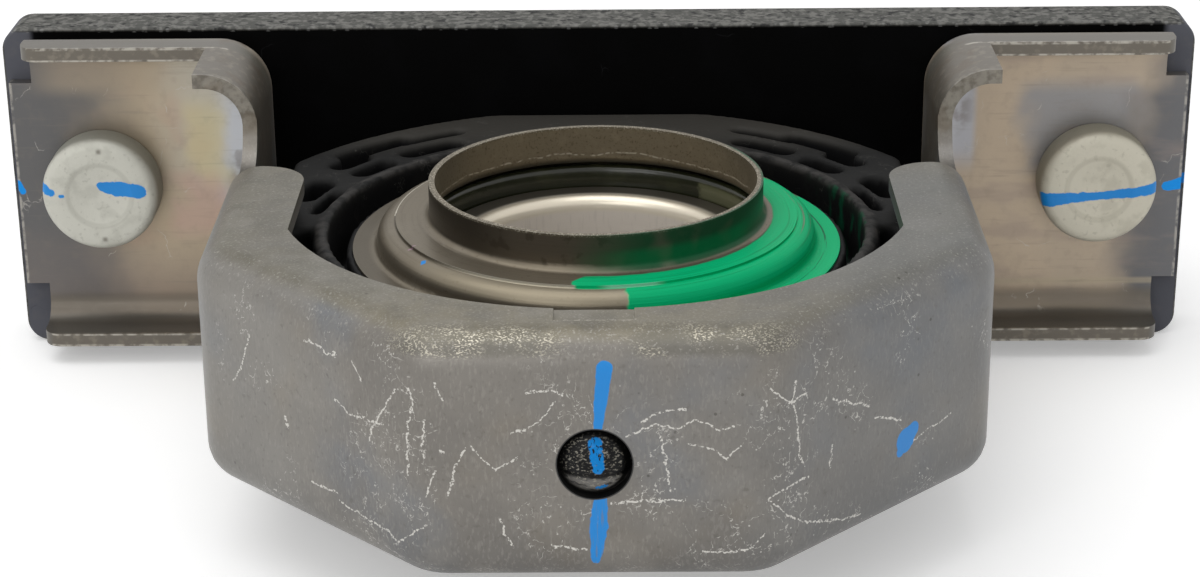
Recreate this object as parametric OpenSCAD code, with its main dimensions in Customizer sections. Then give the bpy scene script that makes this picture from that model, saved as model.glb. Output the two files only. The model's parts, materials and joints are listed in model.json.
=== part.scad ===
// Driveshaft centre bearing: a ball bearing in a rubber cushion, held by a pressed
// steel hoop whose two ears are studded to a flat back plate.
// Millimetres. The origin is the middle of the bearing, +Z runs along the shaft and
// +Y points to the back plate.

/* [Back plate] */
// How far the plate reaches past the ears on each side
plate_margin = 1.5; // [0:0.5:12]
// Height of the plate along the shaft
plate_h = 74; // [74:1:90]
// Thickness of the plate
plate_t = 13; // [8:0.5:18]
// How far the middle of the plate lies below the middle of the bearing
plate_drop = 1.9; // [0:0.1:2.4]
// Radius of the plate's corners
plate_corner_r = 5; // [2:0.5:10]

/* [Hoop] */
// Thickness of the pressed sheet
sheet_t = 3; // [2.5:0.1:3.6]
// Distance from the shaft's axis to the front face of the back plate
axis_to_plate = 76; // [74:0.5:84]
// Distance from the shaft's axis to the outer face of each flat of the hoop
hoop_flat = 74; // [73:0.5:78]
// Height of the hoop along the shaft
hoop_h = 47; // [45:0.5:54]
// Outer radius of the bend between the web and the rims
rim_bend_r = 7; // [5:0.5:7]
// Outer radius of the bends between the flats
plan_bend_r = 12; // [9:0.5:13]
// Radius of the round opening inside the rims
opening_r = 61; // [60:0.5:63]
// Clear width between the two rim ends
rim_end_gap = 115; // [112:0.5:119]
// How far the rim ends reach behind the shaft's axis
rim_end_reach = 16; // [12:0.5:18]
// Radius of the rounded rim ends
rim_end_r = 9; // [4:0.5:9]
// Depth of the relief notch below the rim
relief_depth = 7.5; // [7.1:0.1:9]
// Radius of the relief notch beside the corner wall
relief_r = 9; // [4:0.5:9]
// Radius of the relief notch beside the rim end
relief_front_r = 2.5; // [1:0.5:3]
// Diameter of the locating hole in the front flat
locating_hole_d = 13; // [12.8:0.1:15]

/* [Coined tab on the front rim] */
// Width of the tab
tab_w = 14; // [8:0.5:18]
// How far the tab stands into the opening
tab_nose = 1.6; // [0.5:0.1:2.5]
// Length of the coined step
tab_run = 5; // [3:0.5:6]
// Depth of the coined step
tab_step = 0.8; // [0.4:0.1:1.2]

/* [Ears] */
// How far each ear reaches past the middle of its stud
ear_past_stud = 19.5; // [16:0.5:24]
// Height of the ears along the shaft
ear_h = 69.2; // [64:0.2:70]
// How far the lips stand out from the plate
ear_lip = 14; // [11:0.5:18]
// Outer radius of the bend between the ear and its lips
ear_bend_r = 8; // [5:0.5:9]
// Outer radius of the corner where a lip turns into the leg
ear_corner_r = 11; // [9:0.5:13]
// How far the lips stop short of the ear's end
lip_inset = 5; // [3:0.5:8]
// Radius of the lips' front corners
lip_corner_r = 4; // [1:0.5:5]
// Depth of the corner wall, from the plate forwards
gusset_depth = 34; // [30:0.5:36]
// Length of lip that has the full depth of the corner wall
gusset_run = 2; // [1:0.5:6]

/* [Studs] */
// Distance between the studs
stud_spacing = 220; // [212:0.5:226]
// Diameter of the studs' threaded ends
stud_d = 14; // [12:0.5:16]
// How much the pressed-in shanks stand out past the thread's radius
shank_extra = 0.3; // [0.2:0.05:0.5]
// How far the shanks stand out behind the plate
shank_proud = 0.5; // [0.3:0.1:1]
// Diameter of the round heads
stud_head_d = 25.6; // [22:0.2:30]
// Height of the round heads
stud_head_h = 8; // [6:0.5:10]
// Radius on the rim of the heads
stud_head_r = 2; // [0.5:0.5:3]
// How far the threaded ends stand out behind the plate
stud_end = 30; // [24:1:45]
// Chamfer on the threaded ends
stud_chamfer = 1.5; // [0.5:0.1:2.5]
// Radial room of the shanks in their holes
stud_clear = 0.1; // [0.05:0.05:0.3]

/* [Rubber cushion] */
// Half height of the cushion where it shows
cushion_half_h = 16.5; // [15.5:0.1:18]
// Distance from the shaft's axis to the flat back of the cushion
cushion_back = 71; // [66:0.5:72]
// Width of the cushion behind the rim ends
cushion_back_w = 126; // [122:0.5:132]
// Radius of the rounded back of the cushion
cushion_back_r = 74.5; // [72:0.5:75.5]
// Room between the cushion and the hoop
cushion_gap = 0.3; // [0.2:0.05:0.6]
// Room between the cushion and the bearing and shields it holds
bearing_grip = 0.1; // [0.05:0.05:0.2]
// Wall of rubber round the bearing
hub_wall = 3.6; // [3:0.1:4]
// Radius of the inner face of the round lip
lip_r = 52; // [51:0.2:53]
// Width of the round lip
lip_w = 2; // [1.4:0.1:2.4]
// How far the round lip stands above the cushion
lip_rise = 0.6; // [0.2:0.1:1.2]
// Room between the raised band under the rims and the rims' edges
band_set_back = 1.5; // [1:0.1:3]
// Half thickness of the web that joins the hub to the outer cushion
web_half = 4; // [3:0.5:7]
// Depth of the moulded pockets
pocket_depth = 12; // [6:0.5:13]
// How much wider the round ends of the pockets are than the pockets
pocket_end_extra = 0.2; // [0.1:0.1:0.6]
// Diameter of the locating nub
nub_d = 12; // [10:0.1:12.4]
// How far the nub stands out of the front flat
nub_proud = 0.8; // [0:0.1:2]

/* [Shields] */
// Thickness of the shield sheet
shield_t = 1.2; // [0.8:0.1:1.4]
// Radius of the shield's foot
shield_r = 47.4; // [46.8:0.1:47.6]
// Radius of the shield's shoulder
shoulder_r = 42.6; // [42:0.1:43.4]
// Radius of the bend at the foot of the shoulder
foot_bend_r = 1.2; // [0.8:0.1:1.5]
// Outer radius of the bend on top of the shoulder
shoulder_bend_r = 3.4; // [2:0.1:3.6]
// Height of the foot's top face above the bearing's middle
foot_z = 13.6; // [13.4:0.1:14.2]
// Height of the shoulder's top face
shoulder_z = 18.6; // [18.4:0.1:20]
// Radius of the small step on the top face
step_r = 39; // [37:0.2:39]
// Height of the small step
step_h = 0.5; // [0.2:0.1:0.8]
// Outer radius of the neck
neck_r = 32.4; // [32:0.1:34]
// Radius of the bend at the foot of the neck
neck_bend_r = 1.6; // [1:0.1:2]
// Height of the neck's rim above the bearing's middle
neck_top = 26.3; // [24:0.1:28]

/* [Bearing] */
// Diameter of the shaft bore
bore_d = 50; // [48:0.5:51]
// Outer diameter of the bearing
bearing_d = 90; // [89:0.5:90]
// Width of the outer ring
outer_w = 20; // [19:0.5:22]
// Width of the inner ring
inner_w = 26.5; // [23:0.5:27]
// Radius on the mouth of the bore
bore_lip_r = 2.4; // [1:0.2:2.6]
// Chamfer on the outer ring
ring_chamfer = 1; // [0.5:0.1:1.2]
// Number of balls
ball_count = 10; // [8:1:11]
// Diameter of the balls
ball_d = 12.7; // [12:0.1:12.8]
// Radius of the circle through the ball centres
pitch_r = 35.5; // [35.3:0.1:35.6]
// Depth of each race below its shoulder
race_depth = 2.35; // [2:0.05:2.5]
// Radius of a race's groove as a multiple of the ball's diameter
race_conformity = 0.52; // [0.515:0.005:0.54]
// Radial running clearance between a ball and a race
race_clear = 0.05; // [0.02:0.01:0.1]

/* [Cage and seals] */
// Thickness of the cage ribbon
cage_t = 1; // [0.8:0.1:1.1]
// Radial width of the cage ribbon
cage_w = 4.2; // [3.6:0.1:4.6]
// Room between a ball and its pocket
pocket_clear = 0.25; // [0.15:0.05:0.3]
// Diameter of the cage rivets
rivet_d = 1.6; // [1.2:0.1:2]
// Diameter of the rivet heads
rivet_head_d = 2.8; // [2.4:0.1:3.2]
// Height of the rivet heads
rivet_head_h = 0.7; // [0.4:0.1:1]
// Thickness of the seals
seal_t = 1.2; // [0.8:0.1:1.3]
// Distance from the seal's outer face to the side of the outer ring
seal_inset = 0.6; // [0.3:0.1:0.8]
// How far the seal sits in its groove
seal_seat = 1; // [0.6:0.1:1.4]
// Room between the seal's lip and the inner ring
seal_clear = 0.3; // [0.2:0.05:0.5]
// Room of the seal in its groove
seat_clear = 0.1; // [0.05:0.05:0.15]

/* [Hidden] */
$fn = 96;
// Extra length of cutting tools past the face they cut
over = 1;

// Hoop
flats_angle = 45;
flats_half_angle = flats_angle / 2;
// Facets in a full turn of the hoop's bends
bend_facets = 32;
bend_axis_r = (hoop_flat - plan_bend_r) / cos(flats_half_angle);
web_in = hoop_flat - sheet_t;
rim_z = hoop_h / 2;
bend_start = rim_z - rim_bend_r;
relief_z = rim_z - relief_depth;
gusset_y = axis_to_plate - gusset_depth;
leg_end = rim_end_reach + relief_front_r + over;

// Ears and plate
ear_end = stud_spacing / 2 + ear_past_stud;
plate_w = 2 * (ear_end + plate_margin);
ear_core_x = web_in + ear_corner_r;
ear_core_z = ear_h / 2 - ear_corner_r;
gusset_end = ear_core_x + gusset_run;
lip_end = ear_end - lip_inset;

// Studs
stud_r = stud_d / 2;
shank_r = stud_r + shank_extra;

// Bearing
bore_r = bore_d / 2;
outer_r = bearing_d / 2;
ball_r = ball_d / 2;
groove_r = race_conformity * ball_d;
inner_race_r = pitch_r - ball_r - race_clear;
outer_race_r = pitch_r + ball_r + race_clear;
inner_shoulder_r = inner_race_r + race_depth;
outer_shoulder_r = outer_race_r - race_depth;
ball_step = 360 / ball_count;
seal_z = outer_w / 2 - seal_inset - seal_t;

// Cushion
hub_in = outer_r + bearing_grip;
hub_out = hub_in + hub_wall;
hub_shoulder_z = foot_z - shield_t - bearing_grip;
cushion_flat = web_in - cushion_gap;
// The cushion's corners stay inside the hoop's bends
cushion_corner_r = bend_axis_r + plan_bend_r - sheet_t - cushion_gap;
band_z = rim_z - sheet_t - cushion_gap;
band_flat = hoop_flat - rim_bend_r;

ring_in = lip_r + lip_w;
ring_w = cushion_back_r - ring_in;
// Pockets on one side of the cushion: middle and width as shares of the ring of rubber
// outside the lip, first and last angle from the side, positive towards the back
POCKETS = [
    [0.68, 0.24, 40, 52],
    [0.60, 0.14, 52, 63],
    [0.54, 0.22, 35, 40],
    [0.28, 0.23, 49, 59],
    [0.22, 0.21, 34, 41],
    [0.37, 0.25, 17, 24],
    [0.11, 0.12, 9, 21],
    [0.17, 0.23, -46, -4],
];

// Name of a ball's node, such as ball_01
function ball_name(number) = str("ball_", number < 10 ? "0" : "", number);

// Children on the right and on the left
module both_sides() {
    children();
    mirror([1, 0, 0]) children();
}

// Children above and below the bearing's mid-plane
module both_faces() {
    children();
    mirror([0, 0, 1]) children();
}

// Quarter of a bent sheet, bend centre at the origin, in the quadrant of sx and sy
module bend_quarter(r, t, sx, sy) {
    intersection() {
        difference() {
            circle(r);
            circle(r - t);
        }
        translate([sx < 0 ? -r : 0, sy < 0 ? -r : 0]) square(r);
    }
}

// Square corner less a quarter disc, for rounding an outer corner by r
module corner_waste(r) {
    difference() {
        square(r + over);
        circle(r);
    }
}

// Half section of a round disc with rounded rims, for one bend between two flats
module bend_disc_section(corner_r, half_h, bend_r) {
    translate([0, -half_h]) square([corner_r - bend_r, 2 * half_h]);
    translate([0, -half_h + bend_r]) square([corner_r, 2 * (half_h - bend_r)]);
    for (z = [-1, 1])
        translate([corner_r - bend_r, z * (half_h - bend_r)]) intersection() {
            circle(bend_r, $fn = bend_facets);
            translate([0, -bend_r]) square([bend_r, 2 * bend_r]);
        }
}

// Octagonal block with rounded corners and rims
module hoop_block(corner_r, half_h, bend_r) {
    hull() for (k = [0:7])
        rotate(k * flats_angle + flats_half_angle) translate([bend_axis_r, 0, 0])
            rotate_extrude($fn = bend_facets) bend_disc_section(corner_r, half_h, bend_r);
}

// Hollow front half of the octagonal hoop with the start of its two legs
module hoop() {
    difference() {
        hoop_block(plan_bend_r, rim_z, rim_bend_r);
        hoop_block(plan_bend_r - sheet_t, rim_z - sheet_t, rim_bend_r - sheet_t);
        translate([-2 * hoop_flat, leg_end, -hoop_h])
            cube([4 * hoop_flat, 2 * hoop_flat, 2 * hoop_h]);
    }
}

// Front half of an octagon whose flats lie at the given distance, with straight
// sides back to back_y
module half_octagon(flat, back_y) {
    half = flat * tan(flats_half_angle);
    polygon([
        [flat, back_y], [flat, -half], [half, -flat],
        [-half, -flat], [-flat, -half], [-flat, back_y]
    ]);
}

// Flat web of each leg between the hoop and the corner wall
module leg_web() {
    half = relief_z + relief_r;
    both_sides()
        translate([web_in, leg_end, -half])
            cube([sheet_t, gusset_y - leg_end, 2 * half]);
}

// Section through an ear's edge from the corner axis outwards: floor, bend, lip
module ear_section(depth) {
    bend_x = ear_corner_r - ear_bend_r;
    square([bend_x, sheet_t]);
    translate([bend_x, ear_bend_r]) bend_quarter(ear_bend_r, sheet_t, 1, -1);
    translate([ear_corner_r - sheet_t, ear_bend_r]) square([sheet_t, depth - ear_bend_r]);
}

// Lip along the top of the right ear, seen from the front with the plate at zero
module ear_lip_run(from_x, to_x, depth) {
    translate([from_x, ear_core_z, 0])
        rotate([90, 0, 90]) linear_extrude(to_x - from_x) ear_section(depth);
}

// Right ear: floor on the plate, lips, and the corner walls that lead into the leg
module ear() {
    translate([0, axis_to_plate, 0]) rotate([90, 0, 0]) {
        difference() {
            union() {
                translate([ear_core_x, -ear_core_z, 0])
                    cube([ear_end - ear_core_x, 2 * ear_core_z, sheet_t]);
                for (m = [0, 1]) mirror([0, m, 0]) {
                    ear_lip_run(ear_core_x, gusset_end, gusset_depth);
                    ear_lip_run(gusset_end, lip_end, ear_lip);
                    translate([ear_core_x, ear_core_z, 0])
                        rotate(90) rotate_extrude(angle = 90) ear_section(gusset_depth);
                }
                translate([ear_core_x, -ear_core_z, 0])
                    rotate([90, 0, 180]) linear_extrude(2 * ear_core_z)
                        ear_section(gusset_depth);
            }
            translate([stud_spacing / 2, 0, -over])
                cylinder(r = shank_r + stud_clear, h = sheet_t + 2 * over);
            translate([lip_end - lip_corner_r, ear_h / 2 + over, ear_lip - lip_corner_r])
                rotate([90, 0, 0]) linear_extrude(ear_h + 2 * over) corner_waste(lip_corner_r);
        }
    }
}

// What is cut out of the rims: the round opening and the rounded rim ends
module rim_cut() {
    end_half = rim_end_gap / 2;
    intersection() {
        circle(opening_r);
        translate([-end_half, -opening_r - over])
            square([2 * end_half, opening_r + 2 * over]);
    }
    translate([-end_half, 0]) square([2 * end_half, leg_end + over]);
    for (m = [0, 1]) mirror([m, 0])
        translate([end_half + rim_end_r, rim_end_reach - rim_end_r])
            mirror([1, 0]) corner_waste(rim_end_r);
}

// Relief notch between a rim end and the corner wall, seen from the side
module relief_plan() {
    front_y = rim_end_reach + relief_front_r;
    back_y = gusset_y - relief_r;
    notch_h = relief_depth + relief_r + over;
    translate([front_y, relief_z]) square([back_y - front_y, notch_h]);
    translate([rim_end_reach, relief_z + relief_front_r])
        square([back_y - rim_end_reach, notch_h]);
    translate([front_y, relief_z + relief_r]) square([gusset_y - front_y, notch_h]);
    translate([front_y, relief_z + relief_front_r]) circle(relief_front_r);
    translate([back_y, relief_z + relief_r]) circle(relief_r);
}

// Nose of the coined tab, from the rim's edge into the opening
module tab_nose_block() {
    translate([-tab_w / 2, -opening_r - over, rim_z - sheet_t - over])
        cube([tab_w, tab_nose + over, sheet_t + 2 * over]);
}

// Steel bracket: hoop, legs and ears pressed from one sheet
module bracket() {
    color("#7d7a74") difference() {
        union() {
            hoop();
            leg_web();
            both_sides() ear();
        }
        both_faces() {
            difference() {
                translate([0, 0, rim_z - sheet_t - over])
                    linear_extrude(sheet_t + 2 * over) rim_cut();
                tab_nose_block();
            }
            translate([-hoop_flat - over, 0, 0])
                rotate([90, 0, 90]) linear_extrude(2 * (hoop_flat + over)) relief_plan();
        }
        both_faces()
            translate([-tab_w / 2, -opening_r - tab_run, rim_z - tab_step])
                cube([tab_w, tab_run + tab_nose + over, tab_step + over]);
        translate([0, -hoop_flat - over, 0]) rotate([-90, 0, 0])
            cylinder(d = locating_hole_d, h = sheet_t + 2 * over);
    }
}

// Flat steel plate with two stud holes
module back_plate() {
    half_w = plate_w / 2 - plate_corner_r;
    half_h = plate_h / 2 - plate_corner_r;
    color("#1c1c1f") difference() {
        translate([0, axis_to_plate + plate_t, -plate_drop]) rotate([90, 0, 0])
            linear_extrude(plate_t) {
                square([plate_w, 2 * half_h], center = true);
                square([2 * half_w, plate_h], center = true);
                for (x = [-half_w, half_w]) for (y = [-half_h, half_h])
                    translate([x, y]) circle(plate_corner_r);
            }
        both_sides()
            translate([stud_spacing / 2, axis_to_plate - over, 0]) rotate([-90, 0, 0])
                cylinder(r = shank_r + stud_clear, h = plate_t + 2 * over);
    }
}

// Half section of a round-head stud, head on the ear's floor, end behind the plate
module stud_section() {
    shank_end = sheet_t + plate_t + shank_proud;
    thread_end = sheet_t + plate_t + stud_end;
    head_r = stud_head_d / 2;
    translate([0, -stud_head_h + stud_head_r]) square([head_r, stud_head_h - stud_head_r]);
    translate([0, -stud_head_h]) square([head_r - stud_head_r, stud_head_h]);
    translate([head_r - stud_head_r, -stud_head_h + stud_head_r]) intersection() {
        circle(stud_head_r);
        translate([0, -stud_head_r]) square(stud_head_r);
    }
    polygon([
        [0, -over], [shank_r, -over], [shank_r, shank_end], [stud_r, shank_end],
        [stud_r, thread_end - stud_chamfer], [stud_r - stud_chamfer, thread_end], [0, thread_end]
    ]);
}

// Round-head stud through an ear and the plate, side is -1 for left and 1 for right
module stud(side) {
    color("#b9b7aa")
        translate([side * stud_spacing / 2, axis_to_plate - sheet_t, 0])
            rotate([-90, 0, 0]) rotate_extrude() stud_section();
}

// Outline of the cushion: octagon inside the hoop, rounded back with a flat
module cushion_plan() {
    intersection() {
        half_octagon(cushion_flat, rim_end_reach);
        circle(cushion_corner_r);
    }
    intersection() {
        circle(cushion_back_r);
        translate([-cushion_back_w / 2, 0]) square([cushion_back_w, cushion_back]);
    }
}

// Raised band of the cushion that lies under the rims
module band_plan() {
    difference() {
        half_octagon(band_flat, rim_end_reach - rim_end_r);
        circle(opening_r + band_set_back);
        translate([-rim_end_gap / 2 - band_set_back, -opening_r / 2])
            square([rim_end_gap + 2 * band_set_back, opening_r]);
    }
}

// Kidney-shaped pocket sunk from the top face
module pocket(middle, width, from_a, to_a) {
    r = ring_in + middle * ring_w;
    w = width * ring_w;
    translate([0, 0, cushion_half_h - pocket_depth]) {
        rotate(from_a) rotate_extrude(angle = to_a - from_a)
            translate([r - w / 2, 0]) square([w, pocket_depth + over]);
        for (a = [from_a, to_a])
            rotate(a) translate([r, 0, 0])
                cylinder(d = w + pocket_end_extra, h = pocket_depth + over);
    }
}

// Rubber cushion: hub round the bearing, web, ring of pockets, band under the rims
module rubber_cushion() {
    color("#2d2d2d") {
        difference() {
            union() {
                translate([0, 0, -cushion_half_h])
                    linear_extrude(2 * cushion_half_h) cushion_plan();
                translate([0, 0, -band_z]) linear_extrude(2 * band_z) band_plan();
                cylinder(r = ring_in, h = 2 * (cushion_half_h + lip_rise), center = true);
                locating_nub();
            }
            cylinder(r = hub_in, h = 2 * (cushion_half_h + lip_rise + over), center = true);
            both_faces() {
                translate([0, 0, hub_shoulder_z])
                    cylinder(r = shield_r + bearing_grip, h = cushion_half_h);
                translate([0, 0, foot_z])
                    cylinder(r = hub_out + over, h = cushion_half_h);
                translate([0, 0, web_half]) difference() {
                    cylinder(r = lip_r, h = cushion_half_h);
                    translate([0, 0, -over]) cylinder(r = hub_out, h = cushion_half_h + 2 * over);
                }
                both_sides() for (p = POCKETS) pocket(p[0], p[1], p[2], p[3]);
            }
        }
    }
}

// Domed nub that sits in the hoop's locating hole
module locating_nub() {
    reach = hoop_flat + nub_proud;
    dome_r = nub_d / 2;
    translate([0, -cushion_flat + over, 0]) rotate([90, 0, 0])
        cylinder(r = dome_r, h = over + sheet_t / 2);
    translate([0, -cushion_flat - sheet_t / 2, 0]) rotate([90, 0, 0])
        rotate_extrude() intersection() {
            dome_h = reach - cushion_flat - sheet_t / 2;
            ball = (dome_r * dome_r + dome_h * dome_h) / (2 * dome_h);
            translate([0, dome_h - ball]) circle(ball);
            square([dome_r, dome_h]);
        }
}

// Half section of a shield: foot, shoulder, stepped top and neck
module shield_section() {
    rise_from = foot_z + foot_bend_r;
    rise_to = shoulder_z - shoulder_bend_r;
    top_z = shoulder_z + step_h;
    translate([shoulder_r + foot_bend_r, foot_z - shield_t])
        square([shield_r - shoulder_r - foot_bend_r, shield_t]);
    translate([shoulder_r + foot_bend_r, rise_from])
        bend_quarter(foot_bend_r + shield_t, shield_t, -1, -1);
    translate([shoulder_r - shield_t, rise_from]) square([shield_t, rise_to - rise_from]);
    translate([shoulder_r - shoulder_bend_r, rise_to])
        bend_quarter(shoulder_bend_r, shield_t, 1, 1);
    translate([step_r - shield_t, shoulder_z - shield_t])
        square([shoulder_r - shoulder_bend_r - step_r + shield_t, shield_t]);
    translate([neck_r + neck_bend_r, top_z - shield_t])
        square([step_r - neck_r - neck_bend_r, shield_t]);
    translate([neck_r + neck_bend_r, top_z + neck_bend_r])
        bend_quarter(neck_bend_r + shield_t, shield_t, -1, -1);
    translate([neck_r - shield_t, top_z + neck_bend_r])
        square([shield_t, neck_top - top_z - neck_bend_r]);
}

module upper_shield() {
    color("#787062") rotate_extrude() shield_section();
}

module lower_shield() {
    color("#787062") mirror([0, 0, 1]) rotate_extrude() shield_section();
}

// Half section of the outer ring: chamfered block less the race and the seal grooves
module outer_ring_section() {
    half = outer_w / 2;
    difference() {
        polygon([
            [outer_shoulder_r, -half], [outer_r - ring_chamfer, -half],
            [outer_r, -half + ring_chamfer], [outer_r, half - ring_chamfer],
            [outer_r - ring_chamfer, half], [outer_shoulder_r, half]
        ]);
        translate([outer_race_r - groove_r, 0]) circle(groove_r);
        for (s = [0, 1]) mirror([0, s])
            translate([outer_shoulder_r - over, seal_z - seat_clear])
                square([seal_seat + seat_clear + over, seal_t + 2 * seat_clear]);
    }
}

module outer_ring() {
    color("#a8a49c") rotate_extrude() outer_ring_section();
}

// Half section of the inner ring: rounded bore mouths and the race
module inner_ring_section() {
    half = inner_w / 2;
    difference() {
        union() {
            translate([bore_r, -half + bore_lip_r])
                square([inner_shoulder_r - bore_r, inner_w - 2 * bore_lip_r]);
            translate([bore_r + bore_lip_r, -half])
                square([inner_shoulder_r - bore_r - bore_lip_r, inner_w]);
            for (s = [-1, 1])
                translate([bore_r + bore_lip_r, s * (half - bore_lip_r)]) circle(bore_lip_r);
        }
        translate([inner_race_r + groove_r, 0]) circle(groove_r);
    }
}

module inner_ring() {
    color("#a8a49c") rotate_extrude() inner_ring_section();
}

// Flat seal washer seated in the outer ring
module seal() {
    translate([0, 0, seal_z]) difference() {
        cylinder(r = outer_shoulder_r + seal_seat, h = seal_t);
        translate([0, 0, -over])
            cylinder(r = inner_shoulder_r + seal_clear, h = seal_t + 2 * over);
    }
}

module upper_seal() {
    color("#2a2d22") seal();
}

module lower_seal() {
    color("#2a2d22") mirror([0, 0, 1]) seal();
}

// Children at each ball's place, turned by part of the ball spacing
module round_the_pitch(turn) {
    for (i = [0 : ball_count - 1])
        rotate(i * ball_step + turn) translate([pitch_r, 0, 0]) children();
}

// Upper half of the two-piece ribbon cage: flat lands and domed ball pockets
module cage_half() {
    dome_r = ball_r + pocket_clear + cage_t;
    difference() {
        intersection() {
            union() {
                cylinder(r = pitch_r + cage_w / 2, h = cage_t);
                round_the_pitch(0) sphere(dome_r);
            }
            difference() {
                cylinder(r = pitch_r + cage_w / 2, h = dome_r);
                translate([0, 0, -over])
                    cylinder(r = pitch_r - cage_w / 2, h = dome_r + 2 * over);
            }
        }
        round_the_pitch(0) sphere(ball_r + pocket_clear);
        round_the_pitch(ball_step / 2) translate([0, 0, -over])
            cylinder(d = rivet_d + 2 * seat_clear, h = cage_t + 2 * over);
    }
}

module upper_cage() {
    color("#9a968c") cage_half();
}

module lower_cage() {
    color("#9a968c") mirror([0, 0, 1]) cage_half();
}

// Rivets through the lands of both cage halves
module cage_rivets() {
    color("#8d897f") round_the_pitch(ball_step / 2) {
        cylinder(d = rivet_d, h = 2 * cage_t, center = true);
        both_faces() translate([0, 0, cage_t]) cylinder(d = rivet_head_d, h = rivet_head_h);
    }
}

// One ball, numbered from 1
module ball(number) {
    color("#c9c9c6")
        rotate((number - 1) * ball_step) translate([pitch_r, 0, 0]) sphere(ball_r);
}

back_plate();
bracket();
stud(-1);  // left_stud
stud(1);  // right_stud
rubber_cushion();
upper_shield();
lower_shield();
outer_ring();
inner_ring();
upper_seal();
lower_seal();
upper_cage();
lower_cage();
cage_rivets();
for (i = [1 : ball_count])
    ball(i);
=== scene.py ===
"""Looks of a driveshaft centre bearing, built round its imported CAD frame.

The frame is in metres. Lengths in this script are millimetres in the same frame, and colours
are sRGB from 0 to 255.
"""

import json
import math

import bmesh
import bpy
from mathutils import Matrix, Vector


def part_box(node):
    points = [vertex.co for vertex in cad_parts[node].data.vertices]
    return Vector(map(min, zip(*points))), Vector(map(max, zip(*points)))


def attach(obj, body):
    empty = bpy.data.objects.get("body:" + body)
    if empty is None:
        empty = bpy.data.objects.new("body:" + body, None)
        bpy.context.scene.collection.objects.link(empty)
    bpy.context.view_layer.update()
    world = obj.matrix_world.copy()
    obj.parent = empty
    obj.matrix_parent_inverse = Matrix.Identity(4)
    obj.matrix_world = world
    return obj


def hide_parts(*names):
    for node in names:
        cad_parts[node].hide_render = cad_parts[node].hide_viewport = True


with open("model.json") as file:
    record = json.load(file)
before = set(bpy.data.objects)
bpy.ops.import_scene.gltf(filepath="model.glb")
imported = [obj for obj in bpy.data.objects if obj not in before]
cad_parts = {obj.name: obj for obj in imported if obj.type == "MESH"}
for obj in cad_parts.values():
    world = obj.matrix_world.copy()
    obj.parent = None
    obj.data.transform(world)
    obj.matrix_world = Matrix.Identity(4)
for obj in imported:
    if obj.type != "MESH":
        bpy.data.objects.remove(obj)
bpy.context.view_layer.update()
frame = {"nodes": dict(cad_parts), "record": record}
NODES = frame["nodes"]
SCENE = bpy.context.scene
MM = 0.001


def corners(node):
    """A CAD node's lowest and highest corner in mm, to a hundredth."""
    return [[round(c / MM, 2) for c in corner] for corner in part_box(node)]


# Sizes from the frame
MOUNTS = {mount["name"]: mount["dims"] for mount in frame["record"]["mounts"]}
BORE_R = MOUNTS["shaft_bore"]["r_mm"]
STUD_R = MOUNTS["frame_studs"]["stud_r_mm"]
STUD_X = MOUNTS["frame_studs"]["spacing_x_mm"] / 2
PLATE_LOW, PLATE_HIGH = corners("back_plate")
PLATE_END_X, PLATE_BACK_Y, PLATE_TOP_Z = PLATE_HIGH
PLATE_UNDER_Z = PLATE_LOW[2]
BRACKET_LOW, BRACKET_HIGH = corners("bracket")
EAR_END_X, LIP_TOP_Z = BRACKET_HIGH[0], BRACKET_HIGH[2]
HOOP_FLAT = -BRACKET_LOW[1]
STUD_LOW, STUD_HIGH = corners("right_stud")
HEAD_R = round(STUD_HIGH[0] - STUD_X, 2)
HEAD_FRONT, STUD_END = STUD_LOW[1], STUD_HIGH[1]
NECK_RIM_Z = corners("upper_shield")[1][2]


def linear(colour):
    """An sRGB colour, 0 to 255, as the linear colour that a shader socket takes."""
    shares = [c / 255 for c in colour]
    return [s / 12.92 if s <= 0.04045 else ((s + 0.055) / 1.055) ** 2.4 for s in shares] + [1.0]


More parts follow.
